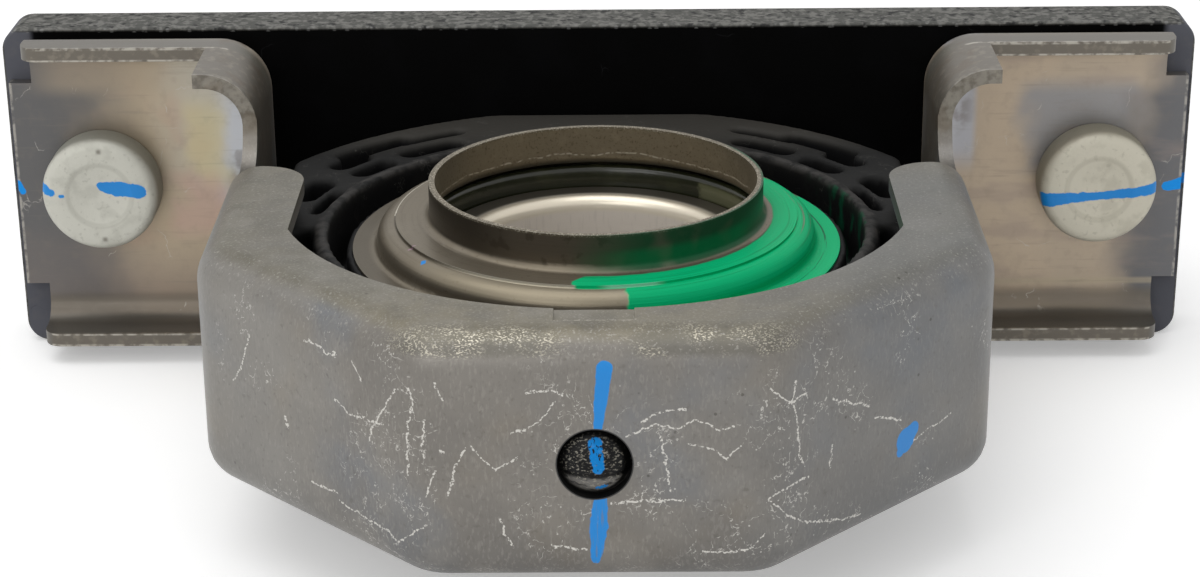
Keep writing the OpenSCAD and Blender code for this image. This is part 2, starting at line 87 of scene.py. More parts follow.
class Look:
    """A node material written in short steps. Positions are millimetres in the part's frame."""

    def __init__(self, name, colour, roughness, metallic=0.0):
        self.material = bpy.data.materials.new(name)
        self.material.use_nodes = True
        self.tree = self.material.node_tree
        self.shader = self.tree.nodes["Principled BSDF"]
        self.shader.inputs["Metallic"].default_value = metallic
        self.shader.inputs["Base Color"].default_value = linear(colour)
        self.shader.inputs["Roughness"].default_value = roughness
        coords = self.node("ShaderNodeTexCoord").outputs["Object"]
        self.place = self.vec("MULTIPLY", coords, (1 / MM, 1 / MM, 1 / MM))
        self.x, self.y, self.z = self.split(self.place)

    def node(self, kind, **settings):
        made = self.tree.nodes.new(kind)
        for key, value in settings.items():
            setattr(made, key, value)
        return made

    def plug(self, value, socket):
        """Links a socket, or sets a plain number on it."""
        if isinstance(value, bpy.types.NodeSocket):
            self.tree.links.new(value, socket)
        else:
            socket.default_value = value

    def calc(self, operation, a, b=0.0, c=0.0, clamp=False):
        made = self.node("ShaderNodeMath", operation=operation, use_clamp=clamp)
        for value, socket in zip((a, b, c), made.inputs):
            self.plug(value, socket)
        return made.outputs[0]

    def vec(self, operation, a, b):
        made = self.node("ShaderNodeVectorMath", operation=operation)
        self.plug(a, made.inputs[0])
        self.plug(b, made.inputs[1])
        return made.outputs[0]

    def split(self, vector):
        made = self.node("ShaderNodeSeparateXYZ")
        self.plug(vector, made.inputs[0])
        return made.outputs

    def length(self, u, v):
        """Length of the arrow (u, v)."""
        squares = self.calc("ADD", self.calc("MULTIPLY", u, u), self.calc("MULTIPLY", v, v))
        return self.calc("SQRT", squares)

    def times(self, *masks):
        """Where all the masks hold."""
        result = masks[0]
        for mask in masks[1:]:
            result = self.calc("MULTIPLY", result, mask)
        return result

    def most(self, *masks):
        """Where any of the masks holds."""
        result = masks[0]
        for mask in masks[1:]:
            result = self.calc("MAXIMUM", result, mask)
        return result

    def inverse(self, mask):
        return self.calc("SUBTRACT", 1.0, mask)

    def ramp(self, value, low, high):
        """0 at low rising smoothly to 1 at high, or falling where high is the smaller."""
        made = self.node("ShaderNodeMapRange", interpolation_type="SMOOTHSTEP")
        ends = (low, high, 0.0, 1.0) if low < high else (high, low, 1.0, 0.0)
        self.plug(value, made.inputs[0])
        for number, socket in zip(ends, list(made.inputs)[1:5]):
            socket.default_value = number
        return made.outputs[0]

    def near(self, value, middle, half, soft):
        """1 within half of the middle, falling to 0 over the soft margin."""
        distance = self.calc("ABSOLUTE", self.calc("SUBTRACT", value, middle))
        return self.ramp(distance, half + soft, half)

    def noise(self, size, stretch=(1, 1, 1), shift=0.0, detail=3.0):
        """Noise of about that size in mm, longer along the axes with a larger stretch."""
        made = self.node("ShaderNodeTexNoise")
        made.inputs["Scale"].default_value = 1.0
        made.inputs["Detail"].default_value = detail
        grain = [1 / (size * s) for s in stretch]
        moved = self.vec("ADD", self.vec("MULTIPLY", self.place, grain), (shift, shift, shift))
        self.plug(moved, made.inputs["Vector"])
        return made.outputs[0]

    def patchy(self, size, low, high, **how):
        """Patches of noise of that size in mm: 0 where it is low, rising to 1 where it is high."""
        return self.ramp(self.noise(size, **how), low, high)

    def specks(self, size, share, shift=0.0):
        """Small separate spots of about that size. Share is how much of each cell they may fill."""
        made = self.node("ShaderNodeTexVoronoi")
        made.inputs["Scale"].default_value = 1 / size
        self.plug(self.vec("ADD", self.place, (shift, shift, shift)), made.inputs["Vector"])
        return self.ramp(made.outputs["Distance"], share, share * 0.5)

    def web(self, size, line, warp, shift=0.0):
        """Thin wandering lines between cells of about that size, as scratches cross each other."""
        push = self.node("ShaderNodeTexNoise")
        push.inputs["Scale"].default_value = 2.2 / size
        push.inputs["Detail"].default_value = 4.0
        self.plug(self.vec("ADD", self.place, (shift, shift, shift)), push.inputs["Vector"])
        centred = self.vec("SUBTRACT", push.outputs["Color"], (0.5, 0.5, 0.5))
        moved = self.vec("ADD", self.place, self.vec("MULTIPLY", centred, (warp, warp, warp)))
        made = self.node("ShaderNodeTexVoronoi", feature="DISTANCE_TO_EDGE")
        made.inputs["Scale"].default_value = 1 / size
        self.plug(self.vec("ADD", moved, (shift, shift, shift)), made.inputs["Vector"])
        return self.ramp(made.outputs["Distance"], line / size, 0.3 * line / size)

    def shaken(self, value, size, amount):
        """The value, moved up and down by noise of that size."""
        push = self.calc("SUBTRACT", self.noise(size, shift=15), 0.5)
        return self.calc("ADD", value, self.calc("MULTIPLY", push, amount))

    def scratch(self, run, rise, points, half):
        """A thin line through (run, rise) points in rising order of run."""
        first, last = points[0][0], points[-1][0]
        low = min(p[1] for p in points)
        span = max(p[1] for p in points) - low
        bend = self.node("ShaderNodeFloatCurve")
        curve = bend.mapping.curves[0]
        shares = [((u - first) / (last - first), (v - low) / span) for u, v in points]
        curve.points[0].location, curve.points[1].location = shares[0], shares[-1]
        for share in shares[1:-1]:
            curve.points.new(*share)
        for point in curve.points:
            point.handle_type = "VECTOR"
        bend.mapping.update()
        along = self.calc("DIVIDE", self.calc("SUBTRACT", run, first), last - first)
        self.plug(along, bend.inputs["Value"])
        path = self.calc("MULTIPLY_ADD", bend.outputs[0], span, low)
        off = self.calc("ABSOLUTE", self.calc("SUBTRACT", rise, path))
        return self.times(self.ramp(off, 1.5 * half, 0.5 * half), self.near(along, 0.5, 0.49, 0.01))

    def polar_noise(self, across, degrees, shift=0.0):
        """Noise drawn out round the shaft's axis: a size in mm across and in degrees along."""
        made = self.node("ShaderNodeTexNoise")
        made.inputs["Scale"].default_value = 1.0
        made.inputs["Detail"].default_value = 3.0
        join = self.node("ShaderNodeCombineXYZ")
        self.plug(self.calc("DIVIDE", self.radius(), across), join.inputs[0])
        self.plug(self.calc("DIVIDE", self.angle(), degrees), join.inputs[1])
        self.plug(self.calc("ADD", self.calc("DIVIDE", self.z, across), shift), join.inputs[2])
        self.plug(join.outputs[0], made.inputs["Vector"])
        return made.outputs[0]

    def radius(self):
        """Distance from the shaft's axis."""
        return self.length(self.x, self.y)

    def angle(self):
        """Angle about the shaft's axis in degrees, 0 to the right and -90 to the front."""
        return self.calc("MULTIPLY", self.calc("ARCTAN2", self.y, self.x), math.degrees(1))

    def stroke(self, u, v, points, widths, ragged=0.5):
        """A painted stroke through the points of the plane u, v, with a half width at each point."""
        wobble = self.calc("MULTIPLY", self.calc("SUBTRACT", self.noise(1.4, detail=4), 0.5), 2 * ragged)
        result = 0.0
        for (a, b), (wa, wb) in zip(zip(points, points[1:]), zip(widths, widths[1:])):
            run = (b[0] - a[0], b[1] - a[1])
            length2 = run[0] ** 2 + run[1] ** 2
            du, dv = self.calc("SUBTRACT", u, a[0]), self.calc("SUBTRACT", v, a[1])
            share_u = self.calc("MULTIPLY", du, run[0] / length2)
            share_v = self.calc("MULTIPLY", dv, run[1] / length2)
            along = self.calc("ADD", share_u, share_v, clamp=True)
            off_u = self.calc("SUBTRACT", du, self.calc("MULTIPLY", along, run[0]))
            off_v = self.calc("SUBTRACT", dv, self.calc("MULTIPLY", along, run[1]))
            half = self.calc("ADD", self.calc("MULTIPLY", along, wb - wa), wa)
            inside = self.calc("SUBTRACT", self.calc("ADD", half, wobble), self.length(off_u, off_v))
            result = self.calc("MAXIMUM", result, self.ramp(inside, -0.1, 0.15))
        return result

    def tint(self, mask, colour, amount=1.0):
        """Mixes the colour in where the mask holds."""
        base = self.shader.inputs["Base Color"]
        made = self.node("ShaderNodeMix", data_type="RGBA")
        self.plug(self.calc("MULTIPLY", mask, amount), made.inputs[0])
        if base.is_linked:
            self.plug(base.links[0].from_socket, made.inputs[6])
        else:
            made.inputs[6].default_value = base.default_value
        made.inputs[7].default_value = linear(colour)
        self.plug(made.outputs[2], base)

    def blend(self, name, mask, value):
        """Moves a number of the shader, such as its roughness, to the value where the mask holds."""
        socket = self.shader.inputs[name]
        made = self.node("ShaderNodeMix")
        self.plug(mask, made.inputs[0])
        if socket.is_linked:
            self.plug(socket.links[0].from_socket, made.inputs[2])
        else:
            made.inputs[2].default_value = socket.default_value
        made.inputs[3].default_value = value
        self.plug(made.outputs[0], socket)

    def bump(self, height, depth):
        """Raises the surface by height times the depth in mm."""
        socket = self.shader.inputs["Normal"]
        made = self.node("ShaderNodeBump")
        made.inputs["Distance"].default_value = depth * MM
        self.plug(height, made.inputs["Height"])
        if socket.is_linked:
            self.plug(socket.links[0].from_socket, made.inputs["Normal"])
        self.plug(made.outputs[0], socket)


def dress(obj, look):
    """Gives the object that look alone."""
    obj.data.materials.clear()
    obj.data.materials.append(look.material)


def new_piece(name, mesh, body, node):
    """A new piece that rides on a body and stands for a CAD node."""
    obj = bpy.data.objects.new(name, mesh)
    SCENE.collection.objects.link(obj)
    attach(obj, body)
    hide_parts(node)
    return obj


def welded(node):
    """A copy of a CAD node's mesh with its shared points joined and its flat faces merged."""
    mesh = NODES[node].data.copy()
    bm = bmesh.new()
    bm.from_mesh(mesh)
    bmesh.ops.remove_doubles(bm, verts=bm.verts, dist=0.002 * MM)
    bmesh.ops.dissolve_limit(bm, angle_limit=math.radians(1), verts=bm.verts, edges=bm.edges)
    bm.to_mesh(mesh)
    bm.free()
    if "custom_normal" in mesh.attributes:
        mesh.attributes.remove(mesh.attributes["custom_normal"])
    mesh.shade_smooth()
    return mesh


def rounded_piece(name, node, body, edge_r, angle=32):
    """A CAD node's shape with its sharp edges broken by a small radius."""
    obj = new_piece(name, welded(node), body, node)
    bevel = obj.modifiers.new("edges", "BEVEL")
    bevel.width = edge_r * MM
    bevel.segments = 2
    bevel.limit_method = "ANGLE"
    bevel.angle_limit = math.radians(angle)
    bevel.harden_normals = True
    return obj


def soft_piece(name, node, body, voxel, rounds):
    """A CAD node's shape as a soft moulding: remeshed and smoothed, so that no edge is sharp."""
    obj = new_piece(name, welded(node), body, node)
    remesh = obj.modifiers.new("remesh", "REMESH")
    remesh.mode = "VOXEL"
    remesh.voxel_size = voxel * MM
    remesh.use_smooth_shade = True
    smooth = obj.modifiers.new("smooth", "SMOOTH")
    smooth.factor = 0.5
    smooth.iterations = rounds
    return obj


def lathe(name, profile, turns=128):
    """A closed mesh of revolution about Z from (radius, height) points that start and end on the
    same ring or on the axis."""
    bm = bmesh.new()
    verts = [bm.verts.new((r * MM, 0, z * MM)) for r, z in profile]
    for a, b in zip(verts, verts[1:]):
        bm.edges.new((a, b))
    bmesh.ops.spin(
        bm, geom=list(bm.verts) + list(bm.edges), cent=(0, 0, 0), axis=(0, 0, 1),
        angle=2 * math.pi, steps=turns, use_merge=True,
    )
    bmesh.ops.remove_doubles(bm, verts=bm.verts, dist=0.005 * MM)
    bmesh.ops.recalc_face_normals(bm, faces=bm.faces)
    mesh = bpy.data.meshes.new(name)
    bm.to_mesh(mesh)
    bm.free()
    mesh.shade_smooth()
    return mesh


# Studs

HEAD_BACK = 73.0
HEAD_RING_R = 7.1
SHANK_R = 7.3
SHANK_END = PLATE_BACK_Y + 0.5
PITCH = 2.0
THREAD_DEPTH = 1.2
THREAD_FLANK = 3.2
RUN_OUT = 3.0
END_CHAMFER = 1.5
ROWS_PER_PITCH = 12
STUD_SEGMENTS = 96


def stud_radius(y, turn):
    """Radius of the threaded end at a place along the stud and a share of a turn."""
    phase = (y / PITCH - turn) % 1.0
    groove = THREAD_DEPTH * max(0.0, min(1.0, 1.25 - abs(phase - 0.5) * THREAD_FLANK))
    run_out = max(0.0, min(1.0, (y - SHANK_END - 0.5) / RUN_OUT))
    chamfer = max(0.0, y - (STUD_END - END_CHAMFER))
    return min(STUD_R - groove * run_out, STUD_R - chamfer)


def stud_mesh(name, side):
    """Round head with a shallow ring on its face, plain shank and threaded end."""
    bm = bmesh.new()
    head = [
        (0.0, HEAD_FRONT + 0.25), (6.6, HEAD_FRONT + 0.25), (HEAD_RING_R, HEAD_FRONT + 0.05),
        (7.5, HEAD_FRONT), (10.6, HEAD_FRONT), (11.5, HEAD_FRONT + 0.2), (12.2, HEAD_FRONT + 0.65),
        (12.65, HEAD_FRONT + 1.3), (HEAD_R, HEAD_FRONT + 2.1), (HEAD_R, HEAD_BACK - 0.3),
        (12.5, HEAD_BACK), (SHANK_R, HEAD_BACK), (SHANK_R, SHANK_END), (STUD_R, SHANK_END),
    ]
    rings = [[(r, y)] * STUD_SEGMENTS for r, y in head]
    rows = int((STUD_END - SHANK_END) / PITCH * ROWS_PER_PITCH)
    for row in range(1, rows + 1):
        y = SHANK_END + (STUD_END - SHANK_END) * row / rows
        rings.append([(stud_radius(y, k / STUD_SEGMENTS), y) for k in range(STUD_SEGMENTS)])
    rings.append([(0.0, STUD_END)] * STUD_SEGMENTS)
    grid = []
    for ring in rings:
        line = []
        for k, (r, y) in enumerate(ring):
            a = 2 * math.pi * k / STUD_SEGMENTS
            x, z = side * STUD_X + r * math.cos(a), r * math.sin(a)
            line.append(bm.verts.new((x * MM, y * MM, z * MM)))
        grid.append(line)
    for near, far in zip(grid, grid[1:]):
        for k in range(STUD_SEGMENTS):
            n = (k + 1) % STUD_SEGMENTS
            bm.faces.new((near[k], near[n], far[n], far[k]))
    bmesh.ops.remove_doubles(bm, verts=bm.verts, dist=0.001 * MM)
    bmesh.ops.recalc_face_normals(bm, faces=bm.faces)
    for edge in bm.edges:
        edge.smooth = edge.calc_face_angle(0.0) < math.radians(35)
    mesh = bpy.data.meshes.new(name)
    bm.to_mesh(mesh)
    bm.free()
    mesh.shade_smooth()
    return mesh


def greased_seal(name, up):
    """A seal washer with the grease heaped on it. Up is 1 for the upper one and -1 for the lower."""
    profile = [
        (31.8, 8.2), (40.5, 8.2), (40.5, 9.4), (39.6, 9.6), (38.4, 12.0), (36.6, 15.4), (34.8, 17.0),
        (33.4, 17.5), (32.5, 17.2), (32.1, 16.4), (32.0, 13.5), (31.9, 11.0), (31.8, 9.4), (31.8, 8.2),
    ]
    return lathe(name, [(r, up * z) for r, z in profile])


# Pieces that stand for CAD nodes

bracket = rounded_piece("steel_bracket", "bracket", "housing", edge_r=0.45)
plate = rounded_piece("black_plate", "back_plate", "housing", edge_r=0.6)
cushion = soft_piece("cushion", "rubber_cushion", "housing", voxel=1.0, rounds=3)
left_stud = new_piece("stud_left", stud_mesh("stud_left", -1), "housing", "left_stud")
right_stud = new_piece("stud_right", stud_mesh("stud_right", 1), "housing", "right_stud")
upper_seal = new_piece("seal_upper", greased_seal("seal_upper", 1), "housing", "upper_seal")
lower_seal = new_piece("seal_lower", greased_seal("seal_lower", -1), "housing", "lower_seal")

# Materials

BLUE = (6, 137, 219)
GREEN = (4, 184, 120)
HALF_ROOT = math.sqrt(0.5)

# Other places that the looks follow
HOLE_R = 6.5
RIM_EDGE_Z = 21.8
BOTTOM_EDGE_Z = -21.6
TAB_Y = -65.8
LIP_FRONT_Y = 62.2
LIP_UNDER_Z = 31.8
CUSHION_LIP_R = 53.0
SHIELD_STEP_R = 39.05
NECK_WALL_R = 31.8

# Scratches that stand out on the hoop, given to half a degree and half a millimetre:
# (degrees round the shaft from the front, height) for those that run along it
ALONG_MARKS = [
    [(4, 5), (8, 7.5), (11, 6.5), (13, 8.5), (16, 6.5), (18, 7)],
    [(6, 8), (9, 10), (12, 10.5)],
    [(12, 3.5), (15, 3), (17, 1), (19, 4)],
    [(2, -7.5), (7, -7), (12, -7)],
    [(22, -7), (25, -6), (29, -5.5)],
    [(22, -7), (25, -11), (28, -14), (36, -17.5), (40, -18)],
    [(14, -17), (20, -16.5), (22, -13.5)],
    [(22, 14), (25, 10), (28, 10.5)],
    [(33, 7.5), (41, 2.5)],
    [(42, 0), (48, -3)],
    [(49, -9), (53, -7.5), (59, -6.5)],
    [(-9, 13.5), (-6, 14), (-4, 13)],
    [(-11, 6), (-9, 6.5), (-7, 8.5), (-5, 12)],
    [(-16, 3.5), (-13, -1), (-10, 1.5)],
    [(-6, -15.5), (-1, -16.5)],
    [(-38, 6), (-35, 4.5), (-28, 5)],
    [(-44, 14.5), (-41, 15), (-39, 14), (-37, 14.5)],
    [(-38, -14), (-28, -15.5), (-26, -16.5), (-24, -14), (-22, -12)],
    [(-44, -13), (-38, -12.5)],
]
# (height, degrees) for those that run down it
DOWN_MARKS = [
    [(-3.5, 28), (0, 27), (7, 26.5), (10, 25.5), (14, 26)],
    [(-5.5, 10), (-1, 9.5), (6, 8.5)],
    [(-3, -24), (6, -24), (11, -23), (14, -23.5)],
    [(1, -22), (8.5, -21.5)],
    [(0, -31), (3, -30.5), (7, -28.5), (13, -25.5)],
    [(-6.5, -21.5), (-1, -20.5)],
    [(-6, -19), (-1, -18), (3.5, -16.5)],
    [(-15.5, -11), (-13.5, -12), (-10, -12.5)],
    [(0, -60.5), (3.5, -58.5), (11.5, -56)],
    [(11.5, -32), (15, -34)],
    [(12, -19), (15.5, -20)],
    [(-6, 33), (-1.5, 33.5)],
]
# Small bright chips: (degrees, height)
CHIPS = [(-49, -2.5), (-48.5, -3.5), (-19.5, 2.5), (-42.5, 15), (-37.5, 14.5)]
# Half widths, in mm of height and in degrees
ALONG_HALF = 0.24
DOWN_HALF = 0.18


def bracket_look():
    """Bare pressed steel with mill colours, heat tints, scratches and paint marks."""
    look = Look("bracket_steel", (124, 120, 114), 0.42, 0.6)
    # Mill colour that wanders from warm to bluish grey, olive on the rims, with painted shade below
    look.tint(look.patchy(34.0, 0.48, 0.68), (112, 117, 124), 0.7)
    look.tint(look.patchy(26.0, 0.50, 0.70, shift=7), (128, 118, 102), 0.6)
    # Painted shade: darker towards the bottom of the hoop
    look.tint(look.ramp(look.z, -6, -22), (101, 99, 96), 0.7)
    rim = look.ramp(look.z, 21.0, 23.2)
    look.tint(rim, (109, 105, 92), 0.85)
    look.tint(look.times(rim, look.ramp(look.y, -40, -62)), (128, 121, 103), 0.6)
    look.tint(look.times(rim, look.patchy(9.0, 0.46, 0.66, shift=13)), (90, 87, 77), 0.5)
    mottle = look.noise(11.0, detail=2, shift=23)
    look.tint(look.ramp(mottle, 0.48, 0.70), (138, 134, 127), 0.35)
    look.tint(look.ramp(mottle, 0.50, 0.30), (108, 105, 101), 0.3)
    look.tint(look.patchy(0.45, 0.52, 0.68, stretch=(1, 1, 3), shift=29), (154, 150, 143), 0.3)
    look.tint(look.patchy(0.5, 0.54, 0.70, stretch=(1, 1, 3), shift=35), (92, 89, 84), 0.22)
    # Painted light from the left: the right side is painted darker and bluish, the left side lighter
    painted_shade_right = look.times(look.ramp(look.x, 0, 60), look.ramp(look.y, 20, 0))
    look.tint(painted_shade_right, (102, 106, 110), 0.4)
    painted_light_left = look.times(look.ramp(look.x, -40, -60), look.ramp(look.y, 30, 10), look.inverse(rim))
    look.tint(painted_light_left, (144, 143, 139), 0.3)
    look.tint(look.patchy(1.1, 0.58, 0.75, detail=5), (92, 88, 82), 0.4)
    ear_tints(look)
    lip_wear(look)
    scratch_marks(look)
    paint_marks(look)
    look.bump(look.noise(22.0, detail=2), 0.35)
    look.bump(look.noise(0.7, detail=4), 0.02)
    return look


def ear_tints(look):
    """Heat colours on the floors of the two ears."""
    x, z = look.x, look.z
    floor = look.ramp(look.y, HEAD_BACK - 7.0, HEAD_BACK - 3.0)
    moved = look.shaken(x, 16.0, 20.0)
    left = look.times(floor, look.ramp(x, -60, -70))
    right = look.times(floor, look.ramp(x, 60, 70))
    left_ear_tints(look, left, moved)
    right_ear_tints(look, right, moved)
    # Painted shade in the lower bends, brownish, and rolling marks and small rubs on both floors
    both = look.most(left, right)
    look.tint(look.times(both, look.ramp(z, -25, -28)), (100, 93, 82), 0.8)
    look.tint(look.times(both, look.patchy(1.0, 0.56, 0.74, stretch=(14, 1, 1))), (124, 116, 108), 0.25)
    look.tint(look.times(both, look.patchy(2.4, 0.50, 0.75, detail=5, shift=19)), (126, 117, 106), 0.15)
    rubs = look.times(both, look.web(15.0, 0.14, 10.0, 4), look.patchy(6.0, 0.56, 0.64, shift=5))
    look.tint(rubs, (190, 186, 178), 0.45)


def left_ear_tints(look, left, moved):
    """Grey at the ear's end, through tan to pale blue at the leg."""
    x, z = look.x, look.z
    look.tint(left, (96, 95, 95))
    look.tint(look.times(left, look.ramp(moved, -120, -95)), (172, 157, 134))
    top_strip = look.times(left, look.near(z, 27, 3, 5), look.ramp(x, -128, -116))
    look.tint(top_strip, (164, 149, 128), 0.6)
    look.tint(look.times(left, look.ramp(moved, -102, -82), look.ramp(z, -10, 10)), (184, 180, 168), 0.8)
    pink = look.times(left, look.patchy(12.0, 0.46, 0.72, shift=3), look.ramp(moved, -118, -104))
    look.tint(pink, (176, 150, 130), 0.45)
    look.tint(look.times(left, look.near(x, -77, 4, 5), look.near(z, 13, 5, 8)), (190, 196, 208), 0.65)
    look.tint(look.times(left, look.near(x, -80, 2, 5), look.near(z, 1, 3, 5)), (172, 182, 196), 0.5)
    look.tint(look.times(left, look.ramp(z, -8, -28)), (142, 128, 116), 0.75)
    look.tint(look.times(left, look.ramp(z, -8, -20), look.ramp(moved, -104, -118)), (98, 96, 96), 0.7)
    look.tint(look.times(left, look.near(moved, -85, 2, 4), look.near(z, 9, 6, 7)), (196, 184, 140), 0.55)
    look.tint(look.times(left, look.near(moved, -89, 3, 4), look.near(z, -5, 4, 6)), (184, 150, 142), 0.45)


def right_ear_tints(look, right, moved):
    """Pink-tan by the leg, bluish above the head and grey at the ear's end."""
    x, z = look.x, look.z
    look.tint(right, (176, 161, 142))
    look.tint(look.times(right, look.near(moved, 92, 5, 8)), (186, 168, 146), 0.6)
    look.tint(look.times(right, look.near(moved, 107, 8, 7), look.near(z, 12, 7, 6)), (138, 139, 142), 0.85)
    look.tint(look.times(right, look.ramp(moved, 112, 124), look.ramp(z, 23, 18)), (95, 96, 99), 0.95)
    look.tint(look.times(right, look.ramp(moved, 118, 128)), (104, 104, 106), 0.9)
    streaks = look.noise(9.0, (2.2, 1, 0.6), shift=9)
    look.tint(look.times(right, look.ramp(streaks, 0.50, 0.70)), (148, 134, 126), 0.4)
    look.tint(look.times(right, look.near(x, 79, 3, 2), look.ramp(z, 0, 8)), (172, 178, 190), 0.7)
    look.tint(look.times(right, look.near(z, -24.5, 0.3, 0.8)), (176, 164, 140), 0.5)


def lip_wear(look):
    """Dark lips, with painted shade on the lower one, and corner walls with thin bright edges."""
    y = look.y
    across, height = look.calc("ABSOLUTE", look.x), look.calc("ABSOLUTE", look.z)
    behind = look.ramp(y, 38, 44)
    # The lips' own dark grey, with painted shade on the lower lip's upper face
    lip = look.times(behind, look.ramp(across, 74.5, 78), look.ramp(height, 30.0, 31.0))
    look.tint(lip, (104, 100, 93), 0.85)
    ragged = look.patchy(1.6, 0.36, 0.60, detail=4)
    front = look.ramp(y, LIP_FRONT_Y + 0.8, LIP_FRONT_Y + 0.2)
    face = look.times(behind, front, look.ramp(across, 66, 70))
    look.tint(face, (106, 100, 91), 0.9)
    look.tint(look.times(face, look.patchy(2.0, 0.50, 0.68, detail=5, shift=2)), (138, 131, 118), 0.5)
    top_edge = look.near(height, LIP_TOP_Z - 0.2, 0.1, 0.35)
    under_edge = look.near(height, LIP_UNDER_Z, 0.05, 0.3)
    edges = look.times(lip, look.near(y, LIP_FRONT_Y, 0.3, 0.3), look.most(top_edge, under_edge))
    look.tint(look.times(edges, ragged), (186, 181, 170), 0.8)
    look.tint(look.times(look.near(across, EAR_END_X - 0.1, 0.25, 0.4), ragged), (172, 168, 160), 0.7)
    look.tint(look.times(behind, look.near(y, 42.3, 0.3, 0.5), ragged), (166, 161, 150), 0.5)
    stain = look.patchy(5.0, 0.52, 0.68, shift=2)
    look.tint(look.times(behind, look.near(across, 75, 5, 4), stain), (98, 84, 68), 0.45)


def scratch_marks(look):
    """Pale scratches and rubs on the hoop's outer skin."""
    y, across = look.y, look.calc("ABSOLUTE", look.x)
    facet = look.calc("MULTIPLY", look.calc("SUBTRACT", across, y), HALF_ROOT)
    reach = look.most(look.calc("MULTIPLY", y, -1.0), facet, across)
    skin = look.times(look.ramp(y, 40, 30), look.ramp(reach, HOOP_FLAT - 2.0, HOOP_FLAT - 1.0))
    broken = look.patchy(0.7, 0.46, 0.56, detail=4, shift=1)
    worn = scratched_patches(look, across)
    fine = fine_scratches(look, look.times(skin, broken), worn)
    drawn = drawn_scratches(look, skin)
    flecks = look.times(skin, look.specks(2.2, 0.10, 12), look.ramp(worn, 0.50, 0.60))
    look.tint(flecks, (204, 201, 195), 0.7)
    stains = look.patchy(8.0, 0.52, 0.62, shift=21)
    pits = look.times(look.ramp(y, 40, 30), look.specks(3.4, 0.12, 3), stains)
    look.tint(pits, (60, 56, 50), 0.6)
    rubbed = edge_rubs(look, across, broken)
    look.blend("Roughness", look.most(fine, drawn, rubbed), 0.3)


def scratched_patches(look, across):
    """Noise that is raised at the front bends, round the hole and along the bottom edge."""
    y, z = look.y, look.z
    front_bend = look.times(look.near(across, 34, 4, 8), look.ramp(y, -50, -56))
    by_hole = look.times(look.ramp(look.length(look.x, z), 18, 8), look.ramp(y, -50, -56))
    low_edge = look.times(look.near(z, -19, 3, 4), look.ramp(y, 0, -10))
    busy = look.calc("MULTIPLY", look.most(front_bend, by_hole, low_edge), 0.10)
    return look.calc("ADD", look.noise(15.0, shift=11), busy)


def fine_scratches(look, where, worn):
    """Thin lines that cross each other, in the worn patches."""
    long_lines = look.times(look.web(22.0, 0.14, 26.0), look.ramp(worn, 0.52, 0.62))
    short_lines = look.times(look.web(6.0, 0.12, 9.0, 5), look.ramp(worn, 0.55, 0.66))
    fine = look.times(where, look.most(long_lines, short_lines))
    look.tint(fine, (206, 203, 196), 0.7)
    return fine


def drawn_scratches(look, skin):
    """The scratches and chips that stand out. Each breaks up into nicks, densest along its middle."""
    turn = look.calc("ADD", look.angle(), 90.0)
    shaken_z, shaken_turn = look.shaken(look.z, 1.7, 1.7), look.shaken(turn, 1.7, 1.3)
    marks = [look.scratch(turn, shaken_z, points, ALONG_HALF) for points in ALONG_MARKS]
    marks += [look.scratch(look.z, shaken_turn, points, DOWN_HALF) for points in DOWN_MARKS]
    for degrees, height in CHIPS:
        wide, high = look.near(shaken_turn, degrees, 0.3, 0.35), look.near(shaken_z, height, 0.25, 0.35)
        marks.append(look.times(wide, high))
    lines = look.most(*marks)
    nicks = look.calc("SUBTRACT", look.noise(0.42, shift=31), 0.5)
    broken_up = look.ramp(look.calc("MULTIPLY_ADD", nicks, 3.2, lines), 0.78, 1.05)
    drawn = look.times(skin, broken_up, look.ramp(lines, 0.02, 0.2))
    look.tint(drawn, (216, 213, 206), 0.8)
    return drawn


def edge_rubs(look, across, broken):
    """Painted shade and dense rubbing on the front edge of the top rim, and thinner rubbing along the rest of
    it and below.
    """
    x, y, z = look.x, look.y, look.z
    edge = look.near(z, RIM_EDGE_Z, 1.2, 1.6)
    grit = look.patchy(0.3, 0.52, 0.62, stretch=(1.5, 1, 0.8), shift=6)
    dense = look.times(look.ramp(y, -65, -71), look.near(across, 22, 12, 7))
    # Painted shade on the front edge of the top rim, damping the highlight on its bend
    look.tint(look.times(edge, dense), (98, 95, 86), 0.6)
    rubbed = look.times(edge, grit, dense, look.patchy(5.0, 0.36, 0.58, shift=17))
    look.tint(rubbed, (214, 207, 188), 0.7)
    thin = look.times(edge, look.ramp(y, 20, 8), look.patchy(0.6, 0.60, 0.68, shift=8))
    look.tint(thin, (180, 177, 170), 0.35)
    bottom = look.times(look.near(z, BOTTOM_EDGE_Z, 0.8, 1.0), look.ramp(y, 20, 0), grit)
    look.tint(look.times(bottom, look.patchy(6.0, 0.42, 0.60, shift=41)), (192, 188, 180), 0.5)
    tab = look.times(look.near(x, 0.4, 7.0, 0.4), look.near(y, TAB_Y, 0.3, 0.4), look.ramp(z, 20, 21))
    look.tint(look.times(tab, broken), (190, 184, 172), 0.6)
    return rubbed


